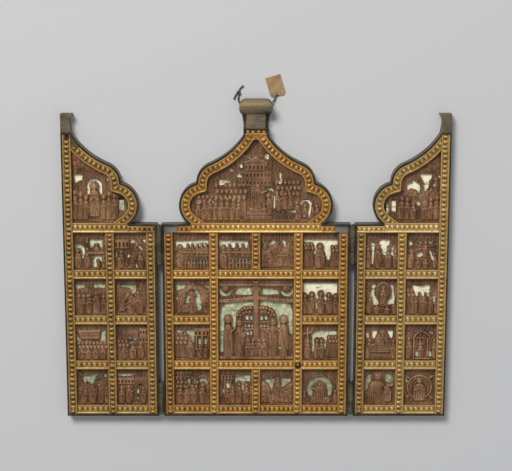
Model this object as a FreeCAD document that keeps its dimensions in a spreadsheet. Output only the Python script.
"""Folding travel icon: a centre leaf with an ogee gable, two half-width wings on tube hinges, carved
pierced panels over mica in recesses of a wooden core, gilt strips over the ribs, a metal case.

Frame: the icon lies open on its back. +X runs across, +Y towards the gable's top, +Z out of the
front. The origin is the middle of the centre leaf's rectangular back. Millimetres.
"""
import FreeCAD, Part
import math
import os
import Sketcher

from FreeCAD import Placement, Rotation, Vector

doc = FreeCAD.newDocument("folding_travel_icon")
sheet = doc.addObject("Spreadsheet::Sheet", "sizes")

DRIVING_SIZES = [
    # leaves in plan
    ("body_height", 159.0, "height of each leaf's rectangle"),
    ("centre_width", 148.6, "width of the centre leaf"),
    ("closing_gap", 0.3, "a wing's far side to the line where the wings meet, shut"),
    ("hinge_gap", 4.2, "gap between centre leaf and wing, lying open"),
    ("gable_half_width", 60.4, "widest half width of the gable outline"),
    ("gable_rise", 70.6, "rise of the gable from the shoulder to the neck"),
    ("neck_half_width", 9.8, "half width of the centre leaf's neck"),
    ("neck_height", 5.9, "straight neck above the gable"),
    ("wing_neck_width", 8.4, "width of a wing's half neck"),
    ("wing_neck_height", 2.4, "half neck of a wing above the gable"),
    # layers of a leaf, from the back
    ("leaf_thickness", 9.0, "back of the case to its rim"),
    ("back_sheet", 0.8, "metal sheet of the case's back"),
    ("case_wall", 1.4, "wall of the case at the rim"),
    ("closing_wall", 0.8, "wall of a wing on its closing side"),
    ("pocket_floor", 2.0, "wood left under the panels"),
    ("core_height", 5.8, "height of the wooden core board"),
    ("mica_thickness", 0.3, "mica leaf"),
    ("panel_height", 3.4, "carved panel, back to highest carving"),
    ("panel_ground", 1.7, "ground of a carved panel"),
    ("frame_sheet", 0.8, "window frame sheet"),
    ("strip_sheet", 0.8, "gilt strip without its edges"),
    ("strip_lip_height", 0.4, "raised edge of a strip above its channel"),
    ("strip_lip_width", 1.3, "width of a raised edge"),
    ("fit_gap", 0.1, "clearance between pieces of one leaf"),
    # layout of the strips
    ("post_width", 7.0, "upright strip"),
    ("rail_width", 7.5, "level strip"),
    ("gable_strip_width", 7.1, "strip along the gable"),
    ("top_rail_drop", 3.35, "line of the top level strip below the shoulder"),
    ("pocket_margin", 1.2, "recess beyond the visible window, each side"),
    ("window_reveal", 0.3, "window of the frame sheet beyond the strips"),
    ("bare_corner", 3.3, "bare sheet between the top rail's end and the corner post"),
    ("gable_sill", 1.0, "sill of the gable's window above the shoulder"),
    ("gable_apex_drop", 8.6, "top of the gable's window below the neck's top"),
    ("left_strip_trim", 11.6, "lost length at the top of the left wing's curved strip"),
    # nails
    ("nail_head", 2.0, "width of a nail's head"),
    ("nail_head_height", 0.6, "height of a nail's head"),
    ("nail_shank", 0.8, "width of a nail's square shank"),
    ("nail_length", 2.6, "shank below the strip's channel"),
    # hinges
    ("axis_rise", 0.4, "hinge axis above the front of the leaves"),
    ("knuckle_radius", 1.9, "outside of a hinge knuckle"),
    ("pin_radius", 0.85, "hinge pin"),
    ("pin_clearance", 0.05, "running clearance round the pin"),
    ("pin_stand_out", 0.7, "pin beyond the last knuckle"),
    ("strap_sheet", 0.8, "sheet of a hinge strap"),
    ("strap_foot", 2.0, "lower edge of a strap above the back"),
    ("strap_relief", 2.2, "strap cut back below the axis beside the other half's knuckles"),
    ("knuckle_gap", 0.2, "gap between two knuckles"),
    ("upper_hinge_length", 31.5, "upper hinge"),
    ("upper_hinge_inset", 0.5, "upper hinge below the shoulder"),
    ("lower_hinge_length", 26.0, "lower hinge"),
    ("lower_hinge_inset", 2.2, "lower hinge above the foot"),
    # suspension head
    ("head_sheet", 1.2, "sheet of the head"),
    ("roll_radius", 5.85, "outside of the rolled head"),
    ("roll_half_width", 13.0, "widest half width of the roll"),
    ("roll_end_half_width", 8.0, "half width of the roll at its top"),
    ("head_height", 23.1, "neck's top to the top of the head"),
    ("tongue_half_width", 7.4, "half width of the front tongue"),
    ("tongue_length", 11.4, "front tongue up to the roll"),
    # half heads of the wings
    ("tip_height", 14.5, "half head above the wing's neck"),
    ("tip_waist", 6.9, "half head at its waist"),
    ("tip_flare", 9.4, "half head at its top"),
    ("tip_flare_height", 2.6, "height of the flare"),
    ("tip_thickness", 8.2, "thickness of a half head"),
    ("tip_joint", 0.1, "seam between a half head and its wing"),
    # string and tag
    ("string_radius", 0.65, "string"),
    ("tag_width", 12.1, "paper tag"),
    ("tag_length", 16.4, "paper tag"),
    ("tag_thickness", 0.4, "paper tag"),
    ("tag_hole_radius", 1.1, "hole of the tag"),
    ("tag_hole_inset", 2.2, "hole to the tag's lower edge"),
    ("tag_corner_cut", 1.6, "cut corner of the tag"),
    ("knot_radius", 1.15, "ring of the knot"),
    ("overrun", 1.0, "how far a cutting solid passes what it cuts"),
]

for row, (alias, millimetres, words) in enumerate(DRIVING_SIZES, start=1):
    sheet.set(f"A{row}", words)
    sheet.set(f"B{row}", str(millimetres))
    sheet.setAlias(f"B{row}", alias)
doc.recompute()


class Length:
    """A length that carries its spreadsheet expression and its value."""

    def __init__(self, text, value):
        self.text, self.value = text, value

    def joined(self, sign, other, value):
        other_text = other.text if isinstance(other, Length) else repr(other)
        return Length(f"({self.text} {sign} {other_text})", value)

    def __add__(self, other):
        return self.joined("+", other, self.value + number(other))

    def __sub__(self, other):
        return self.joined("-", other, self.value - number(other))

    def __mul__(self, other):
        return self.joined("*", other, self.value * number(other))

    def __truediv__(self, other):
        return self.joined("/", other, self.value / number(other))

    def __neg__(self):
        return Length(f"(0 - {self.text})", -self.value)


def number(length):
    return length.value if isinstance(length, Length) else float(length)


def size(alias):
    return Length(f"sizes.{alias}", float(sheet.get(alias)))


ZERO = Length("0", 0.0)

body_height = size("body_height")
centre_width = size("centre_width")
closing_gap = size("closing_gap")
hinge_gap = size("hinge_gap")
leaf_thickness = size("leaf_thickness")
back_sheet = size("back_sheet")
case_wall = size("case_wall")
fit_gap = size("fit_gap")
post_width = size("post_width")
rail_width = size("rail_width")
overrun = size("overrun")
strip_sheet = size("strip_sheet")
strip_lip_height = size("strip_lip_height")
strip_lip_width = size("strip_lip_width")
gable_rise = size("gable_rise")

shoulder = body_height / 2
centre_edge = centre_width / 2
axis_x = centre_edge + hinge_gap / 2
axis_z = leaf_thickness + size("axis_rise")
wing_near = centre_edge + hinge_gap
wing_far = axis_x * 2 - closing_gap
neck_start = shoulder + gable_rise
neck_top = neck_start + size("neck_height")
wing_neck_top = neck_start + size("wing_neck_height")

core_base = back_sheet
pocket_z = core_base + size("pocket_floor")
core_top = core_base + size("core_height")
panel_z = pocket_z + size("mica_thickness")
frame_top = core_top + size("frame_sheet")
channel_z = frame_top + strip_sheet
strip_top = channel_z + strip_lip_height

# The inner posts stand at this share of the outer posts' distance from the centre line.
INNER_POST_SHARE = 0.4848

strip_inset = case_wall + fit_gap
bottom_rail = -shoulder + strip_inset + rail_width / 2
row_pitch = (shoulder - size("top_rail_drop") - bottom_rail) / 4
rail_centres = [bottom_rail + row_pitch * step for step in range(5)]
top_rail_low = rail_centres[4] - rail_width / 2
shoulder_strip_edge = shoulder - strip_inset
gable_foot = shoulder + size("gable_sill")
gable_window_top = neck_top - size("gable_apex_drop")
outer_post = centre_edge - strip_inset - post_width / 2
centre_posts = [outer_post, outer_post * INNER_POST_SHARE]
near_post = wing_near + strip_inset + post_width / 2
far_post = wing_far - size("closing_wall") - fit_gap - post_width / 2
middle_post = (near_post + far_post) / 2

# Shares of the gable's half width and rise: foot, widest of the lobe, notch, upper lobe, turn into
# the hollow curve, middle of the hollow curve.
FOOT_SHARE = (0.877, 0.0)
LOBE_SHARE = (1.0, 0.17)
NOTCH_SHARE = (0.778, 0.467)
UPPER_LOBE_SHARE = (0.748, 0.572)
TURN_SHARE = (0.608, 0.686)
HOLLOW_SHARE = (0.356, 0.817)


def gable_point(share):
    return (number(size("gable_half_width")) * share[0], number(shoulder) + number(gable_rise) * share[1])


def gable_side():
    """One side of the gable from its foot to the neck: three arcs, each as (middle, end)."""
    neck = (number(size("neck_half_width")), number(neck_start))
    return [
        gable_point(FOOT_SHARE),
        (gable_point(LOBE_SHARE), gable_point(NOTCH_SHARE)),
        (gable_point(UPPER_LOBE_SHARE), gable_point(TURN_SHARE)),
        (gable_point(HOLLOW_SHARE), neck),
    ]


def mirrored(path):
    """The same path on the other side, walked the other way round."""
    flat, places = [], []
    for step in path:
        if isinstance(step[0], tuple):
            flat.append(step[0])
            places.append(len(flat) - 1)
            flat.append(step[1])
        else:
            flat.append(step)
    flat = [(-x, y) for x, y in flat[::-1]]
    middles = {len(flat) - 1 - place for place in places}
    out, index = [], 0
    while index < len(flat):
        if index in middles:
            out.append((flat[index], flat[index + 1]))
            index += 1
        else:
            out.append(flat[index])
        index += 1
    return out


def centre_path():
    low, edge, top = -number(shoulder), number(centre_edge), number(shoulder)
    neck = (number(size("neck_half_width")), number(neck_top))
    right = [(edge, low), (edge, top)] + gable_side() + [neck]
    return right + mirrored(right)


def from_closing_line(in_u, side):
    """A path given by its distance from the closing line, placed on the left (-1) or right (1)."""
    left = [
        tuple((p[0] - 2 * number(axis_x), p[1]) for p in step)
        if isinstance(step[0], tuple) else (step[0] - 2 * number(axis_x), step[1])
        for step in in_u
    ]
    return left if side < 0 else mirrored(left)


def wing_path(side, closing_line):
    """A wing's outline, whose far side lies on the closing line when the icon is shut."""
    low, top = -number(shoulder), number(shoulder)
    near_u = number(axis_x) * 2 - number(wing_near)
    half_neck = number(closing_gap) + number(size("wing_neck_width"))
    in_u = [(number(closing_line), low), (near_u, low), (near_u, top)] + gable_side()
    in_u += [(half_neck, number(wing_neck_top)), (number(closing_line), number(wing_neck_top))]
    return from_closing_line(in_u, side)


def add_loop(sketch, path):
    """Adds a closed loop of lines and three-point arcs to a sketch."""
    here = path[0]
    for step in path[1:] + [path[0]]:
        end = step[1] if isinstance(step[0], tuple) else step
        if isinstance(step[0], tuple):
            edge = Part.Arc(Vector(*here, 0), Vector(*step[0], 0), Vector(*end, 0)).toShape()
            sketch.addGeometry(Part.ArcOfCircle(edge.Curve, *edge.ParameterRange), False)
        elif here != end:
            sketch.addGeometry(Part.LineSegment(Vector(*here, 0), Vector(*end, 0)), False)
        here = end


def sketch_of(name, paths, z=ZERO):
    sketch = doc.addObject("Sketcher::SketchObject", name)
    for path in paths:
        add_loop(sketch, path)
    sketch.setExpression("Placement.Base.z", z.text)
    return sketch


def extrusion(name, base, height):
    solid = doc.addObject("Part::Extrusion", name)
    solid.Base, solid.DirMode, solid.Solid = base, "Normal", True
    solid.setExpression("LengthFwd", height.text)
    return solid


def inset_of(name, sketch, distance):
    offset = doc.addObject("Part::Offset2D", name)
    offset.Source, offset.Join, offset.Fill = sketch, "Arc", False
    offset.setExpression("Value", (-distance).text)
    return offset


def box(name, low, high):
    """A box between two corners, each a triple of lengths."""
    solid = doc.addObject("Part::Box", name)
    for side, start, end in zip(("Length", "Width", "Height"), low, high):
        solid.setExpression(side, (end - start).text)
    for axis, start in zip("xyz", low):
        solid.setExpression(f"Placement.Base.{axis}", start.text)
    return solid


def fused(name, pieces):
    if len(pieces) == 1:
        return pieces[0]
    solid = doc.addObject("Part::MultiFuse", name)
    solid.Shapes = pieces
    return solid


def gathered(name, pieces):
    solid = doc.addObject("Part::Compound", name)
    solid.Links = pieces
    return solid


def cut(name, base, tool):
    solid = doc.addObject("Part::Cut", name)
    solid.Base, solid.Tool = base, tool
    return solid


def common(name, pieces):
    solid = doc.addObject("Part::MultiCommon", name)
    solid.Shapes = pieces
    return solid


SUB_PARTS = []


def sub_part(label, piece):
    """Names a finished piece; its label is its file's name."""
    piece.Label = label
    SUB_PARTS.append(piece)
    return piece


def board_region(name, guide, inset, z_low, z_high):
    """A leaf's outline drawn in by a distance, as a plate between two heights."""
    plate = extrusion(name, inset_of(name + "_outline", guide, inset), z_high - z_low)
    plate.setExpression("Placement.Base.z", z_low.text)
    return plate


def gable_region(name, leaf, grow, z_low, z_high):
    """The window of the gable, grown on all sides, as a plate between two heights."""
    inset = strip_inset + size("gable_strip_width") - grow
    plate = board_region(name + "_plate", leaf["guide"], inset, z_low, z_high)
    low_x, high_x = leaf["gable_span"]
    limits = box(
        name + "_limits",
        (low_x - grow, gable_foot - grow, z_low),
        (high_x + grow, gable_window_top + grow, z_high),
    )
    return common(name, [plate, limits])


def strip(name, low, high, upright):
    """A stamped strip: a sheet with a raised plain edge along both long sides."""
    body = box(name + "_body", (*low, frame_top), (*high, strip_top))
    lip_x, lip_y = (strip_lip_width, -overrun) if upright else (-overrun, strip_lip_width)
    channel = box(
        name + "_channel",
        (low[0] + lip_x, low[1] + lip_y, channel_z),
        (high[0] - lip_x, high[1] - lip_y, strip_top + overrun),
    )
    return cut(name, body, channel)


def post(name, x, y_low, y_high):
    return strip(name, (x - post_width / 2, y_low), (x + post_width / 2, y_high), True)


def rail(name, y, x_low, x_high):
    low = (x_low + post_width / 2 + fit_gap, y - rail_width / 2)
    high = (x_high - post_width / 2 - fit_gap, y + rail_width / 2)
    return strip(name, low, high, False)


def top_rail(name, outline, channel):
    """The stepped strip below a gable, from its outline and its channel's outline."""
    plan = sketch_of(name + "_outline", [outline], frame_top)
    body = extrusion(name + "_body", plan, strip_top - frame_top)
    floor = sketch_of(name + "_channel_outline", [channel], channel_z)
    return cut(name, body, extrusion(name + "_channel", floor, overrun))


def gable_strip(name, leaf, low, high):
    """The strip that follows the gable's outline, between two corners of the plan."""
    wide = size("gable_strip_width")
    outer = board_region(name + "_outer", leaf["guide"], strip_inset, frame_top, strip_top)
    window = gable_region(name + "_window", leaf, ZERO, frame_top, strip_top)
    bed = board_region(
        name + "_bed", leaf["guide"], strip_inset + strip_lip_width, channel_z, strip_top + overrun
    )
    rib = gable_region(name + "_rib", leaf, strip_lip_width, channel_z, strip_top + overrun)
    channel = cut(name + "_channel", bed, rib)
    ring = cut(name + "_ring", cut(name + "_body", outer, window), channel)
    limits = box(name + "_limits", (*low, frame_top), (*high, strip_top))
    return common(name, [ring, limits])


# The flat top of a nail's head, as a share of its width.
NAIL_TOP_SHARE = 0.34


def nails(name, places):
    """Square-shanked nails with faceted heads, and the holes that take their shanks."""
    made, holes = [], []
    shank, head = size("nail_shank") / 2, size("nail_head") / 2
    foot = channel_z - size("nail_length")
    for index, (x, y) in enumerate(places):
        tag = f"{name}_{index}"
        pin = box(tag + "_shank", (x - shank, y - shank, foot), (x + shank, y + shank, channel_z))
        cap = doc.addObject("Part::Wedge", tag + "_head")
        for key in ("Xmin", "Zmin"):
            cap.setExpression(key, (-head).text)
        for key in ("Xmax", "Zmax"):
            cap.setExpression(key, head.text)
        for key in ("X2min", "Z2min"):
            cap.setExpression(key, (-head * NAIL_TOP_SHARE).text)
        for key in ("X2max", "Z2max"):
            cap.setExpression(key, (head * NAIL_TOP_SHARE).text)
        cap.setExpression("Ymin", "0")
        cap.setExpression("Ymax", size("nail_head_height").text)
        cap.Placement = Placement(Vector(), Rotation(Vector(1, 0, 0), 90))
        for axis, place in zip("xyz", (x, y, channel_z)):
            cap.setExpression(f"Placement.Base.{axis}", place.text)
        made.append(fused(tag, [pin, cap]))
        wide = shank + fit_gap / 2
        low = (x - wide, y - wide, foot - fit_gap)
        holes.append(box(tag + "_hole", low, (x + wide, y + wide, strip_top + overrun)))
    return gathered(name, made), holes


def gable_nail(share, side=None):
    """A nail on the gable's strip; its place is a share of the gable's half width and rise."""
    u = size("gable_half_width") * share[0]
    return (u if side is None else (axis_x * 2 - u) * side, shoulder + gable_rise * share[1])


GABLE_NAIL_SHARES = [(0.916, 0.17), (0.672, 0.544), (0.305, 0.759)]

# How far below the top rail the inner posts' upper nails sit, as a share of a rail's width.
POST_NAIL_SHARE = 0.33


def rectangle_sketch(body, name, wide, tall):
    """A rectangle about the origin whose two dimensions follow the sheet."""
    sketch = body.newObject("Sketcher::SketchObject", name)
    half_w, half_h = number(wide) / 2, number(tall) / 2
    corners = [(-half_w, -half_h), (half_w, -half_h), (half_w, half_h), (-half_w, half_h)]
    for start, end in zip(corners, corners[1:] + corners[:1]):
        sketch.addGeometry(Part.LineSegment(Vector(*start, 0), Vector(*end, 0)), False)
    for line in range(4):
        sketch.addConstraint(Sketcher.Constraint("Coincident", line, 2, (line + 1) % 4, 1))
        sketch.addConstraint(Sketcher.Constraint("Vertical" if line % 2 else "Horizontal", line))
    sketch.addConstraint(Sketcher.Constraint("Symmetric", 0, 1, 2, 1, -1, 1))
    across = sketch.addConstraint(Sketcher.Constraint("DistanceX", 0, 1, 0, 2, 2 * half_w))
    upward = sketch.addConstraint(Sketcher.Constraint("DistanceY", 1, 1, 1, 2, 2 * half_h))
    sketch.setExpression(f"Constraints[{across}]", wide.text)
    sketch.setExpression(f"Constraints[{upward}]", tall.text)
    return sketch


def lay_on_base(body, sketch, lift=ZERO):
    plane = next(f for f in body.Origin.OriginFeatures if f.Role == "XY_Plane")
    sketch.AttachmentSupport = [(plane, "")]
    sketch.MapMode = "FlatFace"
    sketch.setExpression("AttachmentOffset.Base.z", lift.text)


def carved_panel(name, cell, carving):
    """A pierced wooden panel; its carving is drawn in shares of the window's half sizes."""
    (low_x, low_y), (high_x, high_y) = cell
    hidden = size("pocket_margin") * 2 - fit_gap * 2
    body = doc.addObject("PartDesign::Body", name)
    for axis, place in zip("xyz", ((low_x + high_x) / 2, (low_y + high_y) / 2, panel_z)):
        body.setExpression(f"Placement.Base.{axis}", place.text)
    outline = rectangle_sketch(body, name + "_outline", high_x - low_x + hidden, high_y - low_y + hidden)
    lay_on_base(body, outline)
    ground = body.newObject("PartDesign::Pad", name + "_ground")
    ground.Profile = outline
    ground.setExpression("Length", size("panel_ground").text)
    half = (number(high_x - low_x) / 2, number(high_y - low_y) / 2)
    openings, reliefs = carving

    def scaled(path):
        return [(u * half[0], v * half[1]) for u, v in path]

    raised = body.newObject("Sketcher::SketchObject", name + "_figures")
    lay_on_base(body, raised, size("panel_ground"))
    for path in reliefs:
        add_loop(raised, scaled(path))
    relief = body.newObject("PartDesign::Pad", name + "_relief")
    relief.Profile = raised
    relief.setExpression("Length", (size("panel_height") - size("panel_ground")).text)
    if openings:
        pierced = body.newObject("Sketcher::SketchObject", name + "_openings")
        lay_on_base(body, pierced)
        for path in openings:
            add_loop(pierced, scaled(path))
        pocket = body.newObject("PartDesign::Pocket", name + "_pierced")
        pocket.Profile, pocket.Reversed = pierced, True
        pocket.setExpression("Length", (size("panel_height") + overrun).text)
    return body


def gable_panel(name, leaf, carving):
    """The carved panel of a gable; its carving is drawn in shares of half width and rise."""
    grow = size("pocket_margin") - fit_gap
    ground = gable_region(name + "_ground", leaf, grow, panel_z, panel_z + size("panel_ground"))
    openings, reliefs = carving

    def placed(path):
        points = [gable_point(share) for share in path]
        return [(leaf["side"] * (2 * number(axis_x) - u) if leaf["side"] else u, v) for u, v in points]

    raised = sketch_of(name + "_figures", [placed(p) for p in reliefs], panel_z + size("panel_ground"))
    relief = extrusion(name + "_relief", raised, size("panel_height") - size("panel_ground"))
    pierced = sketch_of(name + "_openings", [placed(p) for p in openings], panel_z - overrun)
    tool = extrusion(name + "_pierced", pierced, size("panel_height") + overrun * 2)
    return cut(name, fused(name + "_carved", [ground, relief]), tool)


# Outlines of the carving, in shares. A figure is a robe with narrow shoulders and a halo.
FIGURE_SHARE = [
    (1.0, 0.0), (0.85, 0.6), (0.5, 0.7), (0.6, 0.8), (0.6, 0.93), (0.28, 1.0),
    (-0.28, 1.0), (-0.6, 0.93), (-0.6, 0.8), (-0.5, 0.7), (-0.85, 0.6), (-1.0, 0.0),
]


def figure(middle, foot, tall, half):
    return [(middle + u * half, foot + v * tall) for u, v in FIGURE_SHARE]


def block(left, low, right, high):
    return [(left, low), (right, low), (right, high), (left, high)]


def arch(left, low, right, high):
    """An opening or niche with a half-round head of five sides."""
    middle, half = (left + right) / 2, (right - left) / 2
    spring = high - half
    turns = [math.pi * step / 5 for step in range(6)]
    return [(left, low), (right, low)] + [
        (middle + half * math.cos(turn), spring + half * math.sin(turn)) for turn in turns[0:6]
    ]


def group(middles, foot, tall, half):
    return [figure(middle, foot, tall, half) for middle in middles]


GROUND_SHARE = block(-0.98, -0.98, 0.98, -0.86)

# Openings and raised forms of each panel, in shares of its window's half sizes.
CENTRE_CARVINGS = {
    "row_1_panel_1": (
        [block(-0.84, 0.4, -0.56, 0.68)]
        + [block(u, 0.42, u + 0.12, 0.68) for u in (-0.34, -0.06, 0.22, 0.5)]
        + [block(u, -0.6, u + 0.06, -0.3) for u in (-0.1, 0.2, 0.5)],
        [figure(-0.7, -0.84, 1.2, 0.2), block(-0.44, 0.0, 0.94, 0.14), block(-0.44, -0.2, 0.94, -0.1),
         GROUND_SHARE],
    ),
    "row_1_panel_2": (
        [block(-0.92, 0.3, -0.72, 0.74)]
        + [block(u, 0.4, u + 0.1, 0.7) for u in (-0.34, -0.06, 0.22, 0.5, 0.76)]
        + [block(u, -0.6, u + 0.06, -0.3) for u in (0.1, 0.4, 0.66)],
        [figure(-0.66, -0.84, 1.4, 0.18), block(-0.4, -0.06, 0.94, 0.1), GROUND_SHARE],
    ),
    "row_1_panel_3": (
        [[(-0.9, 0.3), (-0.62, 0.36), (-0.2, 0.78), (-0.5, 0.78)], block(0.34, 0.5, 0.5, 0.8)],
        [figure(-0.74, -0.8, 1.0, 0.16),
         [(-0.5, -0.84), (0.9, -0.84), (0.6, 0.3), (0.1, 0.46), (-0.3, 0.16)]],
    ),
    "row_1_panel_4": (
        [[(-0.88, 0.2), (-0.6, 0.5), (-0.3, 0.2), (-0.22, 0.8), (-0.9, 0.86)],
         [(0.26, -0.06), (0.5, 0.34), (0.9, 0.34), (0.94, 0.8), (0.3, 0.8)]],
        group((-0.76, -0.42), -0.84, 1.2, 0.15) + [figure(0.0, -0.84, 1.4, 0.24)]
        + group((0.52, 0.8), -0.84, 1.1, 0.13) + [GROUND_SHARE],
    ),
    "row_2_panel_1": (
        [[(-0.9, 0.5), (-0.5, 0.66), (-0.9, 0.84)], [(0.5, 0.66), (0.9, 0.5), (0.9, 0.84)],
         [(-0.42, -0.34), (-0.26, 0.1), (-0.34, -0.5)], [(0.18, -0.66), (0.36, 0.1), (0.5, -0.2)]],
        [figure(0.0, -0.6, 1.1, 0.2), block(-0.94, -0.84, -0.6, 0.3), block(0.64, -0.84, 0.94, 0.3),
         GROUND_SHARE],
    ),
    "row_2_panel_4": (
        [[(-0.9, 0.44), (-0.6, 0.5), (-0.3, -0.6), (-0.1, 0.3), (0.1, 0.5), (0.3, 0.2), (0.5, 0.5),
          (0.9, 0.44), (0.9, 0.84), (-0.9, 0.84)]],
        group((-0.78, -0.48), -0.84, 1.2, 0.14) + [figure(0.04, -0.84, 1.3, 0.16)]
        + group((0.48, 0.8), -0.84, 1.2, 0.14) + [GROUND_SHARE],
    ),
    "row_3_panel_1": (
        [[(-0.5, 0.5), (-0.24, 0.5), (0.0, 0.78), (-0.56, 0.84)], arch(0.34, -0.12, 0.5, 0.3),
         arch(0.72, -0.12, 0.88, 0.3)],
        group((-0.78, -0.48, -0.16), -0.84, 1.3, 0.14)
        + [block(0.16, 0.4, 0.94, 0.7), block(0.16, -0.84, 0.94, -0.3)],
    ),
    "row_3_panel_4": (
        [[(-0.3, 0.7), (0.86, 0.74), (0.86, 0.4), (0.5, 0.44), (0.16, 0.4), (-0.3, 0.5), (-0.44, -0.5),
          (-0.5, 0.3)]],
        [figure(-0.76, -0.84, 1.5, 0.18)] + group((-0.02, 0.3, 0.74), -0.84, 1.2, 0.15) + [GROUND_SHARE],
    ),
    "row_4_panel_1": (
        [arch(0.44, 0.0, 0.78, 0.5), block(-0.46, -0.3, -0.34, 0.2), block(-0.1, 0.2, 0.02, 0.6)],
        group((-0.76, -0.22, 0.16), -0.84, 1.2, 0.13) + [block(-0.94, 0.72, 0.94, 0.84), GROUND_SHARE],
    ),
    "row_4_panel_2": (
        [[(0.0, 0.2), (0.3, 0.1), (0.4, 0.5), (0.84, 0.4), (0.84, 0.8), (0.1, 0.72)],
         block(-0.6, -0.1, -0.46, 0.36)],
        [block(-0.94, 0.5, -0.16, 0.66)] + group((-0.3, 0.24, 0.7), -0.84, 1.1, 0.15) + [GROUND_SHARE],
    ),
    "row_4_panel_3": (
        [[(-0.86, 0.5), (-0.3, -0.2), (-0.1, 0.46)], [(0.2, 0.4), (0.5, 0.04), (0.8, 0.6)]],
        [figure(0.04, -0.3, 0.9, 0.14), [(-0.94, -0.84), (0.94, -0.84), (0.6, -0.4), (-0.5, -0.4)]],
    ),
    "row_4_panel_4": (
        [[(-0.7, 0.2), (-0.4, 0.66), (0.4, 0.66), (0.7, 0.2), (0.66, -0.3), (0.44, -0.2), (0.3, 0.4),
          (-0.3, 0.4), (-0.44, -0.2), (-0.66, -0.3)]],
        [figure(0.0, -0.7, 1.0, 0.26), block(-0.94, 0.76, 0.94, 0.9), GROUND_SHARE],
    ),
}

WINDOW_SLITS = [
    block(side * u - 0.03, v, side * u + 0.03, v + 0.11)
    for side in (-1, 1) for u in (0.2, 0.3) for v in (-0.42, -0.2, 0.0)
]
LARGE_CARVING = (
    WINDOW_SLITS
    + [[(side * 0.1, 0.36), (side * 0.9, 0.44), (side * 0.9, -0.06), (side * 0.66, 0.02), (side * 0.5, 0.2),
        (side * 0.1, 0.3)] for side in (-1, 1)]
    + [block(min(side * 0.16, side * 0.6), 0.62, max(side * 0.16, side * 0.6), 0.8) for side in (-1, 1)],
    [block(-0.07, -0.8, 0.07, 0.94), block(-0.94, 0.48, -0.09, 0.56), block(0.09, 0.48, 0.94, 0.56)]
    + [figure(side * 0.8, -0.84, 0.94, 0.12) for side in (-1, 1)]
    + [block(side * 0.36 - 0.24, -0.84, side * 0.36 + 0.24, -0.56) for side in (-1, 1)]
    + [block(side * 0.47 - 0.1, -0.5, side * 0.47 + 0.1, 0.1) for side in (-1, 1)] + [GROUND_SHARE],
)

LEFT_CARVINGS = [
    [([block(0.2, 0.36, 0.8, 0.6), arch(0.3, -0.5, 0.6, 0.1)], [arch(-0.8, -0.8, 0.0, 0.8), GROUND_SHARE]),
     ([block(u, -0.2, u + 0.14, 0.4) for u in (-0.7, -0.4)] + [block(0.3, 0.5, 0.8, 0.66)],
      [figure(0.2, -0.84, 1.2, 0.2), figure(0.66, -0.84, 1.0, 0.18), block(-0.94, 0.66, 0.1, 0.8)])],
    [([block(-0.6, 0.6, 0.6, 0.76)], group((-0.64, -0.2, 0.24, 0.66), -0.8, 1.2, 0.18) + [GROUND_SHARE]),
     ([[(-0.4, 0.5), (0.0, 0.3), (0.5, 0.5), (0.4, 0.8), (-0.3, 0.8)]],
      [figure(-0.5, -0.84, 1.1, 0.22), [(-0.2, -0.84), (0.9, -0.84), (0.6, -0.1), (0.1, 0.1)]])],
    [([[(-0.84, -0.1), (-0.68, -0.1), (-0.6, 0.6), (-0.84, 0.6)],
       [(0.68, -0.1), (0.84, -0.1), (0.84, 0.6), (0.6, 0.6)]],
      [[(-0.5, 0.74), (-0.3, 0.2), (0.3, 0.2), (0.5, 0.74)]]
      + group((-0.6, -0.2, 0.2, 0.6), -0.84, 0.9, 0.16)),
     ([block(-0.1, 0.1, 0.04, 0.3), block(0.3, 0.1, 0.44, 0.3)],
      [block(-0.94, 0.5, 0.94, 0.66), figure(-0.6, -0.84, 1.2, 0.2), block(-0.2, -0.84, 0.8, -0.1)])],
    [([[(-0.24, 0.74), (0.24, 0.74), (0.0, 0.4)], block(-0.7, 0.2, -0.56, 0.6), block(0.56, 0.2, 0.7, 0.6)],
      [[(-0.5, -0.1), (-0.3, -0.2), (0.5, 0.64), (0.3, 0.72)]]
      + group((-0.7, 0.7), -0.84, 1.0, 0.18) + [GROUND_SHARE]),
     ([block(-0.8, 0.4, -0.5, 0.6), arch(0.1, -0.5, 0.34, 0.1), block(0.6, 0.0, 0.8, 0.3)],
      [figure(-0.5, -0.84, 1.1, 0.2), block(0.0, 0.4, 0.94, 0.56), GROUND_SHARE])],
]

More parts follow.
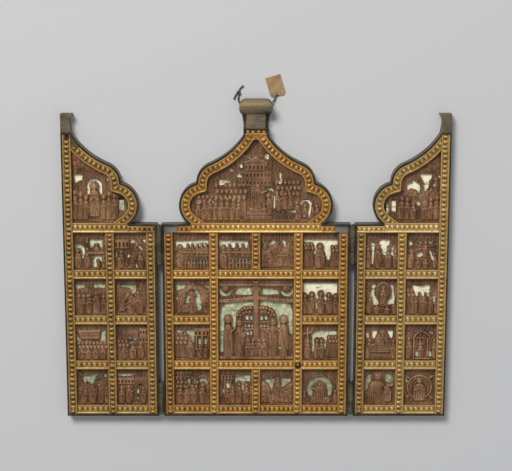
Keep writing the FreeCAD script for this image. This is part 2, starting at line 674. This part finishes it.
RIGHT_CARVINGS = [
    [([[(-0.4, 0.0), (-0.2, 0.5), (-0.1, 0.8), (-0.5, 0.8)], [(0.2, 0.2), (0.4, 0.5), (0.6, 0.8), (0.1, 0.8)]],
      group((-0.66, 0.0, 0.64), -0.84, 1.4, 0.22) + [GROUND_SHARE]),
     ([[(-0.7, 0.3), (-0.5, 0.3), (-0.3, 0.7)], [(0.3, 0.7), (0.5, 0.3), (0.7, 0.3)]],
      [figure(0.0, -0.5, 1.2, 0.2)] + group((-0.66, 0.66), -0.84, 0.9, 0.18) + [GROUND_SHARE])],
    [([[(-0.8, 0.6), (-0.5, 0.7), (-0.56, 0.0), (-0.4, -0.4), (-0.76, -0.2)],
       [(0.5, 0.7), (0.8, 0.6), (0.76, -0.2), (0.4, -0.4), (0.56, 0.0)]],
      [[(0.0, -0.5), (0.3, -0.2), (0.38, 0.2), (0.3, 0.6), (0.0, 0.86), (-0.3, 0.6), (-0.38, 0.2),
        (-0.3, -0.2)], GROUND_SHARE]),
     ([[(-0.5, 0.4), (-0.24, 0.6), (0.0, 0.4), (0.24, 0.6), (0.5, 0.4), (0.5, 0.84), (-0.5, 0.84)]],
      group((-0.6, -0.2, 0.2, 0.6), -0.84, 1.1, 0.16) + [GROUND_SHARE])],
    [([[(-0.8, 0.7), (-0.2, 0.7), (-0.8, 0.0)], [(0.2, 0.7), (0.8, 0.7), (0.8, 0.0)]],
      [[(-0.2, 0.2), (0.2, 0.2), (0.0, 0.8)], block(-0.8, -0.5, 0.8, -0.1),
       block(-0.8, -0.84, 0.8, -0.6)]),
     ([arch(-0.6, 0.1, -0.3, 0.6), arch(0.3, 0.1, 0.6, 0.6)],
      [block(-0.1, -0.7, 0.1, 0.8), block(-0.9, -0.1, -0.2, 0.02), block(0.2, -0.1, 0.9, 0.02),
       GROUND_SHARE])],
    [([[(-0.8, 0.7), (-0.3, 0.7), (-0.6, 0.0)], [(0.3, 0.7), (0.8, 0.7), (0.6, 0.0)]],
      [figure(0.0, -0.9, 1.7, 0.42)]),
     ([[(-0.84, 0.84), (-0.5, 0.84), (-0.84, 0.5)], [(0.5, 0.84), (0.84, 0.84), (0.84, 0.5)]],
      [[(0.66 * math.cos(math.pi * k / 5), 0.66 * math.sin(math.pi * k / 5)) for k in range(10)]])],
]

# Openings and raised forms of the gables, in shares of the gable's half width and rise.
CENTRE_GABLE_CARVING = (
    [[(-0.48, 0.54), (-0.28, 0.55), (-0.28, 0.6), (-0.47, 0.6)], [(-0.2, 0.62), (-0.12, 0.6), (-0.16, 0.68)],
     [(-0.13, 0.72), (-0.05, 0.8), (-0.13, 0.8)], [(0.08, 0.8), (0.16, 0.8), (0.14, 0.74)],
     [(0.27, 0.56), (0.34, 0.56), (0.33, 0.66), (0.28, 0.64)], block(0.22, 0.3, 0.26, 0.46),
     [(0.56, 0.12), (0.66, 0.1), (0.7, 0.2), (0.66, 0.34), (0.54, 0.36), (0.62, 0.26)]],
    group((-0.62, -0.5, -0.38, -0.26), 0.1, 0.34, 0.05)
    + [block(-0.1, 0.12, 0.18, 0.44), [(-0.06, 0.48), (0.14, 0.48), (0.12, 0.62), (-0.04, 0.62)],
       [(0.3, 0.14), (0.5, 0.24), (0.56, 0.44), (0.5, 0.5), (0.36, 0.3)], block(-0.74, 0.04, 0.74, 0.08),
       [(-0.06, 0.84), (0.06, 0.84), (0.0, 0.92)]],
)
LEFT_GABLE_CARVING = (
    [[(0.53, 0.42), (0.48, 0.55), (0.38, 0.55), (0.32, 0.42), (0.28, 0.42), (0.36, 0.6), (0.5, 0.6),
      (0.56, 0.48)],
     [(0.76, 0.14), (0.84, 0.14), (0.84, 0.3), (0.78, 0.32)], block(0.19, 0.56, 0.28, 0.64)],
    [figure(0.43, 0.06, 0.46, 0.08)] + group((0.27, 0.6), 0.06, 0.34, 0.05)
    + [block(0.7, 0.05, 0.73, 0.34)],
)
RIGHT_GABLE_CARVING = (
    [block(0.74, 0.16, 0.79, 0.34), block(0.86, 0.16, 0.89, 0.28), [(0.5, 0.46), (0.68, 0.46), (0.6, 0.56)],
     [(0.28, 0.46), (0.36, 0.46), (0.38, 0.62), (0.26, 0.62)], [(0.18, 0.5), (0.24, 0.5), (0.21, 0.56)]],
    [figure(0.3, 0.06, 0.36, 0.06), figure(0.45, 0.06, 0.32, 0.05), figure(0.6, 0.06, 0.34, 0.05)],
)


def core_board(name, leaf, cells, holes):
    """The wooden board with a recess for each panel and a pilot hole for each nail."""
    board = board_region(name + "_block", leaf["guide"], strip_inset, core_base, core_top)
    margin = size("pocket_margin")
    recesses = [gable_region(name + "_gable_recess", leaf, margin, pocket_z, core_top + overrun)]
    for index, ((low_x, low_y), (high_x, high_y)) in enumerate(cells):
        recesses.append(
            box(
                f"{name}_recess_{index}",
                (low_x - margin, low_y - margin, pocket_z),
                (high_x + margin, high_y + margin, core_top + overrun),
            )
        )
    return sub_part(name, cut(name, board, gathered(name + "_tools", recesses + holes)))


def mica_sheets(name, leaf, cells):
    margin = size("pocket_margin") - fit_gap
    leaves = [gable_region(name + "_gable", leaf, margin, pocket_z, panel_z)]
    for index, ((low_x, low_y), (high_x, high_y)) in enumerate(cells):
        low, high = (low_x - margin, low_y - margin, pocket_z), (high_x + margin, high_y + margin, panel_z)
        leaves.append(box(f"{name}_{index}", low, high))
    return sub_part(name, gathered(name, leaves))


def window_frame(name, leaf, cells, holes):
    """The metal sheet over the ribs, with a window for each panel."""
    reveal = size("window_reveal")
    plate = board_region(name + "_plate", leaf["guide"], strip_inset, core_top, frame_top)
    windows = [gable_region(name + "_gable_window", leaf, reveal, core_top - overrun, frame_top + overrun)]
    for index, ((low_x, low_y), (high_x, high_y)) in enumerate(cells):
        low = (low_x - reveal, low_y - reveal, core_top - overrun)
        high = (high_x + reveal, high_y + reveal, frame_top + overrun)
        windows.append(box(f"{name}_window_{index}", low, high))
    return sub_part(name, cut(name, plate, gathered(name + "_tools", windows + holes)))


def case(name, outline, leaf):
    """The metal case: a back sheet and a wall that follows the leaf's outline."""
    block_of_case = extrusion(name + "_block", outline, leaf_thickness)
    room = board_region(name + "_room", leaf["guide"], case_wall, back_sheet, leaf_thickness + overrun)
    return sub_part(name, cut(name, block_of_case, room))


def window(left, right, low_rail, high_rail):
    """The visible window between two posts and two rails."""
    return (
        (left + post_width / 2, low_rail + rail_width / 2),
        (right - post_width / 2, high_rail - rail_width / 2),
    )


def centre_leaf():
    outline = sketch_of("centre_outline", [centre_path()])
    half = size("gable_half_width")
    leaf = {"guide": outline, "gable_span": (-half, half), "side": 0}
    outer, inner = centre_posts
    columns = [-outer, -inner, ZERO, inner, outer]
    cells, names = [], []
    for row in range(1, 5):
        for column in range(1, 5):
            if row in (1, 4) or column in (1, 4):
                low, high = rail_centres[4 - row], rail_centres[5 - row]
                cells.append(window(columns[column - 1], columns[column], low, high))
                names.append(f"row_{row}_panel_{column}")
    large = window(-inner, inner, rail_centres[1], rail_centres[3])

    places = [(x, y) for x in (-outer, outer) for y in rail_centres[:4]]
    levels = (rail_centres[0], rail_centres[1], rail_centres[3])
    places += [(x, y) for x in (-inner, inner) for y in levels]
    places += [(x, top_rail_low - rail_width * POST_NAIL_SHARE) for x in (-inner, inner)]
    places += [gable_nail((side * u, v)) for side in (-1, 1) for u, v in GABLE_NAIL_SHARES]
    made_nails, holes = nails("centre_nails", places)
    sub_part("centre_nails", made_nails)

    case("centre_case", outline, leaf)
    core_board("centre_core_board", leaf, cells + [large], holes)
    mica_sheets("centre_mica_sheets", leaf, cells + [large])
    window_frame("centre_window_frame", leaf, cells + [large], holes)
    for name, cell in zip(names, cells):
        sub_part("centre_" + name, carved_panel("centre_" + name, cell, CENTRE_CARVINGS[name]))
    sub_part("centre_large_panel", carved_panel("centre_large_panel", large, LARGE_CARVING))
    sub_part("centre_gable_panel", gable_panel("centre_gable_panel", leaf, CENTRE_GABLE_CARVING))

    foot, below_top = -shoulder + strip_inset, top_rail_low - fit_gap
    lines = (-outer, -inner, inner, outer)
    posts = [post(f"centre_post_{i}", x, foot, below_top) for i, x in enumerate(lines)]
    posts.append(post("centre_post_low", ZERO, foot, rail_centres[1] - rail_width / 2 - fit_gap))
    posts.append(post("centre_post_high", ZERO, rail_centres[3] + rail_width / 2 + fit_gap, below_top))
    whole = gathered("centre_posts_whole", posts)
    sub_part("centre_posts", cut("centre_posts", whole, gathered("centre_post_holes", holes)))

    spans = {0: columns, 1: [-outer, -inner, inner, outer], 3: [-outer, -inner, inner, outer]}
    rails = []
    for level, stops in spans.items():
        for index, (left, right) in enumerate(zip(stops, stops[1:])):
            rails.append(rail(f"centre_rail_{level}_{index}", rail_centres[level], left, right))
    rails.append(rail("centre_rail_2_0", rail_centres[2], -outer, -inner))
    rails.append(rail("centre_rail_2_1", rail_centres[2], inner, outer))
    end = number(outer - post_width / 2 - size("bare_corner"))
    step = gable_point(FOOT_SHARE)[0] - number(strip_inset)
    rails.append(top_rail("centre_top_rail", *stepped(-end, -step, step, end)))
    sub_part("centre_rails", gathered("centre_rails", rails))

    low, high = (-half, gable_foot + fit_gap), (half, neck_top)
    curved = gable_strip("centre_gable_ring", leaf, low, high)
    sub_part("centre_gable_strips", cut("centre_gable_strips", curved, gathered("centre_gable_holes", holes)))


def stepped(end_low, step_low, step_high, end_high):
    """The top rail's outline and its channel's, level below, with a raised part under the gable.

    Two equal values at one side mean that the raised part runs to that end.
    """
    low, mid, high = number(top_rail_low), number(shoulder_strip_edge), number(gable_foot)
    lip, over = number(strip_lip_width), number(overrun)

    def ring(grow, lip_y, lip_x):
        points = [(end_low - grow, low + lip_y), (end_high + grow, low + lip_y)]
        if step_high < end_high:
            points += [(end_high + grow, mid - lip_y), (step_high - lip_x, mid - lip_y)]
            points += [(step_high - lip_x, high - lip_y)]
        else:
            points += [(end_high + grow, high - lip_y)]
        if step_low > end_low:
            points += [(step_low + lip_x, high - lip_y), (step_low + lip_x, mid - lip_y)]
            points += [(end_low - grow, mid - lip_y)]
        else:
            points += [(end_low - grow, high - lip_y)]
        return points

    return ring(0.0, 0.0, 0.0), ring(over, lip, lip)


def wing(side, word, carvings, gable_carving, strip_trim):
    """One wing; side is -1 for the left one and 1 for the right one."""
    outline = sketch_of(word + "_outline", [wing_path(side, closing_gap)])
    guide_line = closing_gap + size("closing_wall") - case_wall
    guide = sketch_of(word + "_guide", [wing_path(side, guide_line)])
    window_far = far_post - post_width / 2
    span = (wing_near, window_far) if side > 0 else (-window_far, -wing_near)
    leaf = {"guide": guide, "gable_span": span, "side": side}
    stops = [near_post, middle_post, far_post] if side > 0 else [-far_post, -middle_post, -near_post]
    cells = [
        window(stops[column], stops[column + 1], rail_centres[3 - row], rail_centres[4 - row])
        for row in range(4) for column in range(2)
    ]

    places = [(x * side, y) for x in (near_post, far_post) for y in rail_centres[:4]]
    places += [(middle_post * side, rail_centres[level]) for level in (1, 3)]
    places += [gable_nail(share, side) for share in GABLE_NAIL_SHARES]
    made_nails, holes = nails(word + "_nails", places)
    sub_part(word + "_nails", made_nails)

    case(word + "_case", outline, leaf)
    core_board(word + "_core_board", leaf, cells, holes)
    mica_sheets(word + "_mica_sheets", leaf, cells)
    window_frame(word + "_window_frame", leaf, cells, holes)
    for row in range(4):
        name = f"{word}_row_{row + 1}_panels"
        pair = [carved_panel(f"{name}_{c}", cells[row * 2 + c], carvings[row][c]) for c in range(2)]
        sub_part(name, gathered(name, pair))
    sub_part(word + "_gable_panel", gable_panel(word + "_gable_panel", leaf, gable_carving))

    foot, below_top = -shoulder + strip_inset, top_rail_low - fit_gap
    lines = (near_post, middle_post)
    posts = [post(f"{word}_post_{i}", x * side, foot, below_top) for i, x in enumerate(lines)]
    tall = post(word + "_closing_post_whole", far_post * side, foot, wing_neck_top)
    region = board_region(word + "_closing_post_region", guide, strip_inset, frame_top, strip_top)
    posts.append(common(word + "_closing_post", [tall, region]))
    whole = gathered(word + "_posts_whole", posts)
    sub_part(word + "_posts", cut(word + "_posts", whole, gathered(word + "_post_holes", holes)))

    rails = []
    for level in range(4):
        for index, (left, right) in enumerate(zip(stops, stops[1:])):
            rails.append(rail(f"{word}_rail_{level}_{index}", rail_centres[level], left, right))
    near_end, far_end = number(wing_near + strip_inset), number(window_far - fit_gap)
    step = number(axis_x) * 2 - gable_point(FOOT_SHARE)[0] + number(strip_inset)
    ends = (near_end, step, far_end, far_end) if side > 0 else (-far_end, -far_end, -step, -near_end)
    rails.append(top_rail(word + "_top_rail", *stepped(*ends)))
    sub_part(word + "_rails", gathered(word + "_rails", rails))

    edges = (wing_near, window_far - fit_gap) if side > 0 else (-window_far + fit_gap, -wing_near)
    low, high = (edges[0], gable_foot + fit_gap), (edges[1], wing_neck_top - strip_trim)
    curved = gable_strip(word + "_gable_ring", leaf, low, high)
    sub_part(word + "_gable_strip", cut(word + "_gable_strip", curved, gathered(word + "_gable_holes", holes)))
    half_head(side, word)


# Half head: how far its side has narrowed half way up, and the upright lip's share of the flare.
TIP_HOLLOW_SHARE = 0.3
TIP_LIP_SHARE = 0.33


def half_head(side, word):
    """A wing's half head: a waisted bar that flares under its flat top."""
    low, top = number(wing_neck_top + size("tip_joint")), number(wing_neck_top + size("tip_height"))
    line, flare = number(closing_gap), number(size("tip_flare_height"))
    waist, wide = line + number(size("tip_waist")), line + number(size("tip_flare"))
    base = line + number(size("wing_neck_width"))
    hollow = (waist + (base - waist) * TIP_HOLLOW_SHARE, (low + top) / 2)
    in_u = [(line, low), (base, low), (hollow, (waist, top - flare))]
    in_u += [(wide, top - flare * TIP_LIP_SHARE), (wide, top), (line, top)]
    profile = sketch_of(word + "_head_outline", [from_closing_line(in_u, side)])
    sub_part(word + "_head_half", extrusion(word + "_head_half", profile, size("tip_thickness")))


def along_y(name, radius, x, z, low, high):
    rod = doc.addObject("Part::Cylinder", name)
    rod.setExpression("Radius", radius.text)
    rod.setExpression("Height", (high - low).text)
    rod.Placement = Placement(Vector(), Rotation(Vector(1, 0, 0), -90))
    for axis, place in zip("xyz", (x, low, z)):
        rod.setExpression(f"Placement.Base.{axis}", place.text)
    return rod


KNUCKLES = 3


def hinge_spans():
    """The lower and upper end of each hinge."""
    high = shoulder - size("upper_hinge_inset")
    low = -shoulder + size("lower_hinge_inset")
    return {
        "upper": (high - size("upper_hinge_length"), high),
        "lower": (low, low + size("lower_hinge_length")),
    }


def hinge_half(name, side, on_wing):
    """Straps and knuckles of one half of a leaf's two hinges; the halves' knuckles take turns."""
    made = []
    gap, sheet_metal = size("knuckle_gap"), size("strap_sheet")
    face = wing_near - sheet_metal if on_wing else centre_edge
    for place, (low, high) in hinge_spans().items():
        tag = f"{name}_{place}"
        pitch = (high - low) / KNUCKLES
        edges = [face * side, (face + sheet_metal) * side]
        left, right = sorted(edges, key=number)
        strap = box(tag + "_strap", (left, low, size("strap_foot")), (right, high, axis_z))
        knuckles, reliefs = [], []
        for index in range(KNUCKLES):
            start, end = low + pitch * index, low + pitch * (index + 1)
            if (index % 2 == 1) == on_wing:
                knuckles.append(
                    along_y(f"{tag}_knuckle_{index}", size("knuckle_radius"), axis_x * side, axis_z,
                            start + gap / 2, end - gap / 2)
                )
            else:
                reliefs.append(
                    box(f"{tag}_relief_{index}",
                        (left - overrun, start - gap / 2, axis_z - size("strap_relief")),
                        (right + overrun, end + gap / 2, axis_z + overrun))
                )
        plate = cut(tag + "_cut_strap", strap, gathered(tag + "_reliefs", reliefs))
        bore = along_y(tag + "_bore", size("pin_radius") + size("pin_clearance"), axis_x * side, axis_z,
                       low - overrun, high + overrun)
        made.append(cut(tag, fused(tag + "_whole", [plate] + knuckles), bore))
    return sub_part(name, gathered(name, made))


def hinge_pins(name, side):
    out = size("pin_stand_out")
    pins = [
        along_y(f"{name}_{place}", size("pin_radius"), axis_x * side, axis_z, low - out, high + out)
        for place, (low, high) in hinge_spans().items()
    ]
    return sub_part(name, gathered(name, pins))


# Head: how wide the throat is between neck and roll, its hollow half way up, the roll's widest place.
THROAT_SHARE = 0.5
THROAT_HOLLOW_SHARE = 0.25
WIDEST_SHARE = 0.36


def suspension_head():
    """One sheet that rises from the neck, rolls forward into a tube and ends in a narrower tongue."""
    low = number(neck_top)
    sheet_metal, roll = number(size("head_sheet")), number(size("roll_radius"))
    middle, front = low + number(size("head_height")) - roll, number(leaf_thickness)
    crease = low + number(size("tongue_length"))
    shoulder_y, inner = (middle + crease) / 2, roll - sheet_metal
    dip = (front + 2 * roll) / 2 + sheet_metal / 2
    section = [
        (low, 0.0), (middle, 0.0), ((middle + roll, roll), (middle, 2 * roll)),
        ((shoulder_y, dip), (crease, front)), (low, front), (low, front - sheet_metal),
        (crease, front - sheet_metal), ((shoulder_y, dip - sheet_metal), (middle, 2 * roll - sheet_metal)),
        ((middle + inner, roll), (middle, sheet_metal)), (low, sheet_metal),
    ]
    profile = sketch_of("head_section", [section])
    profile.Placement = Placement(Vector(), Rotation(Vector(1, 1, 1), 120))
    rolled = extrusion("head_rolled", profile, (size("roll_half_width") + overrun) * 2)
    rolled.Symmetric = True

    neck, wide = number(size("neck_half_width")), number(size("roll_half_width"))
    narrow, top = number(size("roll_end_half_width")), low + number(size("head_height"))
    throat = neck + (wide - neck) * THROAT_SHARE
    hollow = (neck + (throat - neck) * THROAT_HOLLOW_SHARE, (low + crease) / 2)
    widest = (wide, crease + (top - crease) * WIDEST_SHARE)
    right = [(neck, low), (hollow, (throat, crease)), (widest, (narrow, top))]
    outline = sketch_of("head_outline", [right + mirrored(right)])
    plan = extrusion("head_plan", outline, size("roll_radius") * 2 + overrun)
    body = common("head_body", [rolled, plan])

    tongue, edge = size("tongue_half_width"), size("roll_half_width") + overrun
    y_low, y_high = neck_top - overrun, neck_top + size("tongue_length")
    z_low, z_high = size("roll_radius"), leaf_thickness + overrun
    sides = [
        box("head_side_left", (-edge, y_low, z_low), (-tongue, y_high, z_high)),
        box("head_side_right", (tongue, y_low, z_low), (edge, y_high, z_high)),
    ]
    return sub_part("suspension_head", cut("suspension_head", body, gathered("head_sides", sides)))


# How much of the shorter run an arc of a tube's path takes.
ARC_SHARE = 0.45
TUBE_SIDES = 8


def tube(name, route, radius):
    """A tube along straight runs joined by tangent arcs, each as large as its runs allow."""
    points = [Vector(*point) for point in route]
    edges, here, radii = [], points[0], []
    for before, corner, after in zip(points, points[1:], points[2:]):
        back, ahead = (before - corner), (after - corner)
        turn = math.pi - back.getAngle(ahead)
        reach = ARC_SHARE * min(back.Length, ahead.Length)
        radii.append(round(reach / math.tan(turn / 2), 2))
        back.normalize()
        ahead.normalize()
        start, end = corner + back * reach, corner + ahead * reach
        middle_way = back + ahead
        middle_way.normalize()
        bend = radii[-1]
        to_centre = math.hypot(bend, reach)
        middle = corner + middle_way * (to_centre - bend)
        edges += [Part.LineSegment(here, start).toShape(), Part.Arc(start, middle, end).toShape()]
        here = end
    edges.append(Part.LineSegment(here, points[-1]).toShape())
    wire = Part.Wire(edges)
    around = Part.makeCircle(radius, points[0], points[1] - points[0]).discretize(TUBE_SIDES + 1)
    solid = wire.makePipe(Part.Face(Part.makePolygon(around)))
    piece = doc.addObject("Part::Feature", name)
    piece.Shape = solid
    share = solid.Volume / (math.pi * radius**2 * wire.Length)
    print(f"{name}: {wire.Length:.1f} mm long, radii {radii}, volume {share:.4f} of section times length")
    return piece


# The string's way from the paper tag through the head's tube to the knot, chosen by hand.
STRING_ROUTE = [
    (17.1, 181.9, 1.2), (15.5, 180.2, 1.1), (14.3, 177.3, 1.4), (12.4, 174.5, 2.7), (8.3, 173.8, 2.6),
    (2.6, 173.6, 2.4), (-2.8, 173.8, 2.4), (-8.3, 173.8, 2.6), (-12.4, 174.5, 2.7), (-14.3, 177.3, 1.4),
    (-13.3, 181.05, 0.8),
]
KNOT_PLACE = (-13.5, 183.0)
TAIL_ROUTES = {
    "upper": [(-13.2, 184.2, 0.75), (-12.4, 186.6, 0.7), (-9.7, 188.3, 0.7)],
    "lower": [(-14.7, 182.4, 0.75), (-16.2, 180.9, 0.7), (-17.0, 177.8, 0.7)],
}
TAG_PLACE = (17.6, 180.0)
TAG_TURN = 16.0


def string_and_tag():
    radius = number(size("string_radius"))
    sub_part("tag_string", tube("tag_string", STRING_ROUTE, radius))

    ring = doc.addObject("Part::Torus", "knot_ring")
    ring.setExpression("Radius1", size("knot_radius").text)
    ring.setExpression("Radius2", size("string_radius").text)
    ring.Placement = Placement(Vector(*KNOT_PLACE, radius), Rotation())
    ball = doc.addObject("Part::Sphere", "knot_ball")
    ball.setExpression("Radius", size("knot_radius").text)
    ball.Placement = Placement(Vector(*KNOT_PLACE, radius * 2), Rotation())
    tails = [tube(f"knot_tail_{word}", route, radius) for word, route in TAIL_ROUTES.items()]
    sub_part("string_knot", fused("string_knot", [ring, ball] + tails))

    half, tall = number(size("tag_width")) / 2, number(size("tag_length"))
    corner = number(size("tag_corner_cut"))
    path = [(-half + corner, 0.0), (half - corner, 0.0), (half, corner)]
    path += [(half, tall), (-half, tall), (-half, corner)]
    card = extrusion("tag_card", sketch_of("tag_outline", [path]), size("tag_thickness"))
    hole = doc.addObject("Part::Cylinder", "tag_hole")
    hole.setExpression("Radius", size("tag_hole_radius").text)
    hole.setExpression("Height", (size("tag_thickness") + overrun * 2).text)
    hole.setExpression("Placement.Base.y", size("tag_hole_inset").text)
    hole.setExpression("Placement.Base.z", (-overrun).text)
    tag = sub_part("inventory_tag", cut("inventory_tag", card, hole))
    tag.Placement = Placement(Vector(*TAG_PLACE, 0), Rotation(Vector(0, 0, 1), TAG_TURN))


centre_leaf()
for side, word, carvings, gable_carving, trim in (
    (-1, "left", LEFT_CARVINGS, LEFT_GABLE_CARVING, size("left_strip_trim")),
    (1, "right", RIGHT_CARVINGS, RIGHT_GABLE_CARVING, ZERO),
):
    wing(side, word, carvings, gable_carving, trim)
    hinge_half(word + "_hinge_fixed_half", side, False)
    hinge_half(word + "_hinge_half", side, True)
    hinge_pins(word + "_hinge_pins", side)
suspension_head()
string_and_tag()
doc.recompute()

for thing in doc.Objects:
    if "Invalid" in thing.State or "Error" in thing.State:
        raise SystemExit(f"{thing.Name} ({thing.Label}) did not recompute: {thing.State}")
os.makedirs("parts", exist_ok=True)
for piece in SUB_PARTS:
    if piece.Shape.isNull() or not piece.Shape.isValid() or not piece.Shape.Solids:
        raise SystemExit(f"{piece.Label} has no valid solid")
for piece in SUB_PARTS:
    piece.Shape.exportStep(f"parts/{piece.Label}.step")
    print(f"{piece.Label}: {len(piece.Shape.Solids)} solids, {piece.Shape.Volume:.1f} cubic mm")
print(f"{len(SUB_PARTS)} sub-parts")
